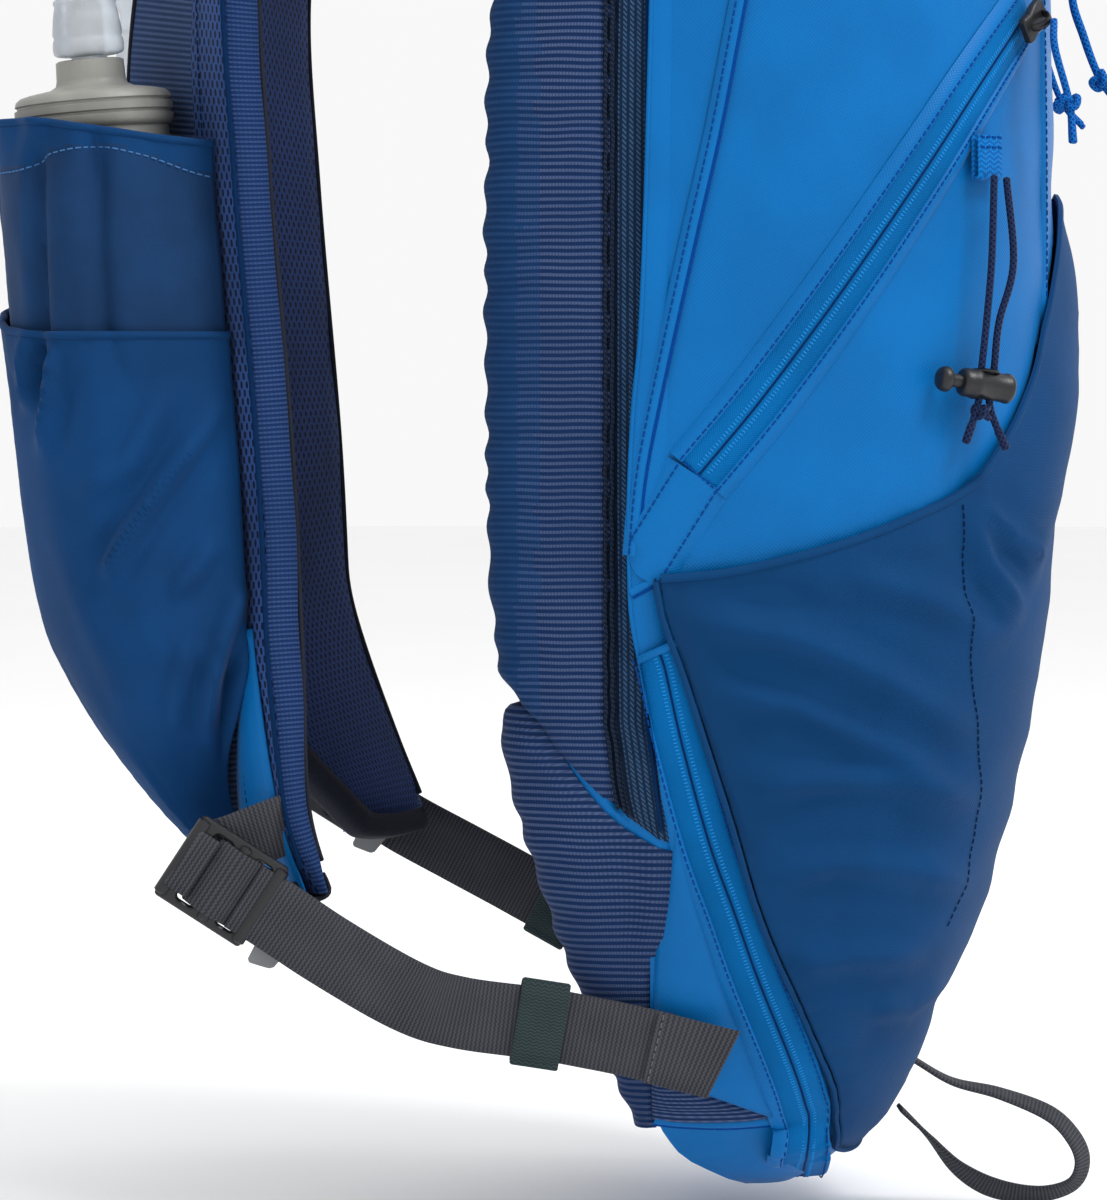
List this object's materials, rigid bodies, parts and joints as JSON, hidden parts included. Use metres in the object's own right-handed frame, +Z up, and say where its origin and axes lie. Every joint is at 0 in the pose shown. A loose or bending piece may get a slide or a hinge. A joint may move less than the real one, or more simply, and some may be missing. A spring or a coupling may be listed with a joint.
{
  "type": "daypack",
  "caption": "Vest-style trail daypack with a zipped lid, stretch front pocket, ribbed back pads and harness straps that carry soft flasks.",
  "frame": {"origin": "centre of the flat underside of the haul loop, which the pack hangs from", "axes": "+Z up the wearer's back, +X to the wearer's left, +Y away from the wearer"},
  "size_m": [0.2526, 0.3192, 0.4939],
  "materials": {
    "shell_fabric": "satin",
    "stretch_fabric": "matte",
    "pad_mesh": "matte",
    "webbing": "matte",
    "keeper_elastic": "matte",
    "zip_tape": "matte",
    "pull_cord": "matte",
    "bungee_cord": "matte",
    "black_plastic": "satin",
    "cap_plastic": "satin",
    "flask_film": "satin",
    "foam": "matte"
  },
  "bodies": {
    "pack": {"back_foam": "foam", "back_pad": "pad_mesh", "bungee_anchor_L": "shell_fabric", "bungee_anchor_R": "shell_fabric", "bungee_front_L": "bungee_cord", "bungee_front_R": "bungee_cord", "bungee_rear_L": "bungee_cord", "bungee_rear_R": "bungee_cord", "front_pocket": "stretch_fabric", "haul_loop": "webbing", "hydration_sleeve": "stretch_fabric", "lower_zip": "zip_tape", "lumbar_pad": "pad_mesh", "main_bag": "shell_fabric", "main_zip": "zip_tape", "side_webbing_L": "webbing", "side_webbing_R": "webbing", "side_wing_L": "shell_fabric", "side_wing_R": "shell_fabric", "side_zip_L": "zip_tape", "side_zip_R": "zip_tape", "tool_loop": "webbing"},
    "lid": {"top_lid": "shell_fabric", "lid_zip": "zip_tape"},
    "strap_left": {"strap_pad_L": "pad_mesh", "flask_sleeve_L": "stretch_fabric", "strap_tab_L": "webbing", "sternum_strap_L": "webbing", "sternum_socket": "black_plastic"},
    "side_zip_slider_left": {"side_zip_slider_L": "black_plastic", "side_zip_pull_L": "pull_cord"},
    "main_zip_slider_left": {"main_zip_slider_L": "black_plastic", "main_zip_pull_L": "pull_cord"},
    "cord_lock_left": {"cord_lock_L": "black_plastic"},
    "cord_lock_button_left": {"cord_lock_button_L": "black_plastic"},
    "keeper_left": {"keeper_L": "keeper_elastic"},
    "ladder_lock_left": {"ladder_lock_L": "black_plastic"},
    "flask_left": {"flask_L": "flask_film"},
    "flask_cap_left": {"flask_cap_L": "cap_plastic"},
    "bite_valve_left": {"bite_valve_L": "flask_film"},
    "strap_right": {"strap_pad_R": "pad_mesh", "flask_sleeve_R": "stretch_fabric", "strap_tab_R": "webbing", "sternum_strap_R": "webbing"},
    "side_zip_slider_right": {"side_zip_slider_R": "black_plastic", "side_zip_pull_R": "pull_cord"},
    "main_zip_slider_right": {"main_zip_slider_R": "black_plastic", "main_zip_pull_R": "pull_cord"},
    "cord_lock_right": {"cord_lock_R": "black_plastic"},
    "cord_lock_button_right": {"cord_lock_button_R": "black_plastic"},
    "keeper_right": {"keeper_R": "keeper_elastic"},
    "ladder_lock_right": {"ladder_lock_R": "black_plastic"},
    "flask_right": {"flask_R": "flask_film"},
    "flask_cap_right": {"flask_cap_R": "cap_plastic"},
    "bite_valve_right": {"bite_valve_R": "flask_film"},
    "lower_zip_slider": {"lower_zip_slider": "black_plastic"},
    "sternum_plug": {"sternum_plug": "black_plastic"}
  },
  "joints": [
    {"name": "lid_hinge", "type": "hinge", "parent": "pack", "child": "lid", "pos_m": [0, 0.1245, -0.1325], "axis": [-1, 0, 0], "range_deg": [0, 95]},
    {"name": "strap_left_swing", "type": "hinge", "parent": "pack", "child": "strap_left", "pos_m": [0, 0.004, -0.04], "axis": [1, 0, 0], "range_deg": [-12, 5], "deforming": ["side_webbing_L"]},
    {"name": "side_zip_left_slide", "type": "hinge", "parent": "pack", "child": "side_zip_slider_left", "pos_m": [-0.0539, 0.03964, -0.23998], "axis": [-0.0355, 0.8063, -0.5905], "range_deg": [0, 31.9]},
    {"name": "main_zip_left_slide", "type": "hinge", "parent": "pack", "child": "main_zip_slider_left", "pos_m": [0.00793, 0.07948, -0.06149], "axis": [-0.0179, -0.7962, -0.6047], "range_deg": [0, 58.9]},
    {"name": "cord_lock_left_slide", "type": "slide", "parent": "pack", "child": "cord_lock_left", "axis": [-0.097, 0.1079, 0.9894], "range_m": [0, 0.014]},
    {"name": "cord_lock_left_press", "type": "slide", "parent": "cord_lock_left", "child": "cord_lock_button_left", "axis": [-0.4408, 0.8866, -0.1399], "range_m": [0, 0.0025], "stiffness_N_per_m": 300, "springref_m": -0.004},
    {"name": "keeper_left_slide", "type": "slide", "parent": "pack", "child": "keeper_left", "axis": [0.0627, -0.987, 0.1478], "range_m": [-0.012, 0.012]},
    {"name": "ladder_lock_left_tilt", "type": "hinge", "parent": "strap_left", "child": "ladder_lock_left", "pos_m": [0.12072, -0.12244, -0.37866], "axis": [0, -0.548, -0.8365], "range_deg": [-3, 30]},
    {"name": "flask_left_lift", "type": "slide", "parent": "strap_left", "child": "flask_left", "axis": [0, -0.0827, 0.9966], "range_m": [0, 0.16]},
    {"name": "flask_cap_left_turn", "type": "hinge", "parent": "flask_left", "child": "flask_cap_left", "pos_m": [0.085, -0.1498, -0.176], "axis": [0, -0.0827, 0.9966], "continuous": true},
    {"name": "bite_valve_left_pull", "type": "slide", "parent": "flask_cap_left", "child": "bite_valve_left", "axis": [0, -0.0827, 0.9966], "range_m": [0, 0.004]},
    {"name": "strap_right_swing", "type": "hinge", "parent": "pack", "child": "strap_right", "pos_m": [0, 0.004, -0.04], "axis": [1, 0, 0], "range_deg": [-12, 5], "deforming": ["side_webbing_R"]},
    {"name": "side_zip_right_slide", "type": "hinge", "parent": "pack", "child": "side_zip_slider_right", "pos_m": [0.0539, 0.03964, -0.23998], "axis": [-0.0355, -0.8063, 0.5905], "range_deg": [0, 31.9]},
    {"name": "main_zip_right_slide", "type": "hinge", "parent": "pack", "child": "main_zip_slider_right", "pos_m": [-0.00793, 0.07948, -0.06149], "axis": [-0.0179, 0.7962, 0.6047], "range_deg": [0, 58.9]},
    {"name": "cord_lock_right_slide", "type": "slide", "parent": "pack", "child": "cord_lock_right", "axis": [0.097, 0.1079, 0.9894], "range_m": [0, 0.014]},
    {"name": "cord_lock_right_press", "type": "slide", "parent": "cord_lock_right", "child": "cord_lock_button_right", "axis": [0.4408, 0.8866, -0.1399], "range_m": [0, 0.0025], "stiffness_N_per_m": 300, "springref_m": -0.004},
    {"name": "keeper_right_slide", "type": "slide", "parent": "pack", "child": "keeper_right", "axis": [-0.1664, -0.8703, 0.4636], "range_m": [-0.012, 0.012]},
    {"name": "ladder_lock_right_tilt", "type": "hinge", "parent": "strap_right", "child": "ladder_lock_right", "pos_m": [-0.12, -0.10756, -0.36931], "axis": [0, 0.5351, 0.8448], "range_deg": [-3, 30]},
    {"name": "flask_right_lift", "type": "slide", "parent": "strap_right", "child": "flask_right", "axis": [0, -0.0827, 0.9966], "range_m": [0, 0.16]},
    {"name": "flask_cap_right_turn", "type": "hinge", "parent": "flask_right", "child": "flask_cap_right", "pos_m": [-0.085, -0.1498, -0.176], "axis": [0, -0.0827, 0.9966], "continuous": true},
    {"name": "bite_valve_right_pull", "type": "slide", "parent": "flask_cap_right", "child": "bite_valve_right", "axis": [0, -0.0827, 0.9966], "range_m": [0, 0.004]},
    {"name": "lower_zip_slide", "type": "hinge", "parent": "pack", "child": "lower_zip_slider", "pos_m": [0.09209, 0.16092, -0.28615], "axis": [0.5807, -0.8065, -0.1111], "range_deg": [0, 19.3]},
    {"name": "sternum_plug_release", "type": "slide", "parent": "strap_right", "child": "sternum_plug", "axis": [-1, 0, 0], "range_m": [0, 0.016]}
  ],
  "couplings": [
    {"joint": "strap_right_swing", "follows": "strap_left_swing", "ratio": 1}
  ]
}
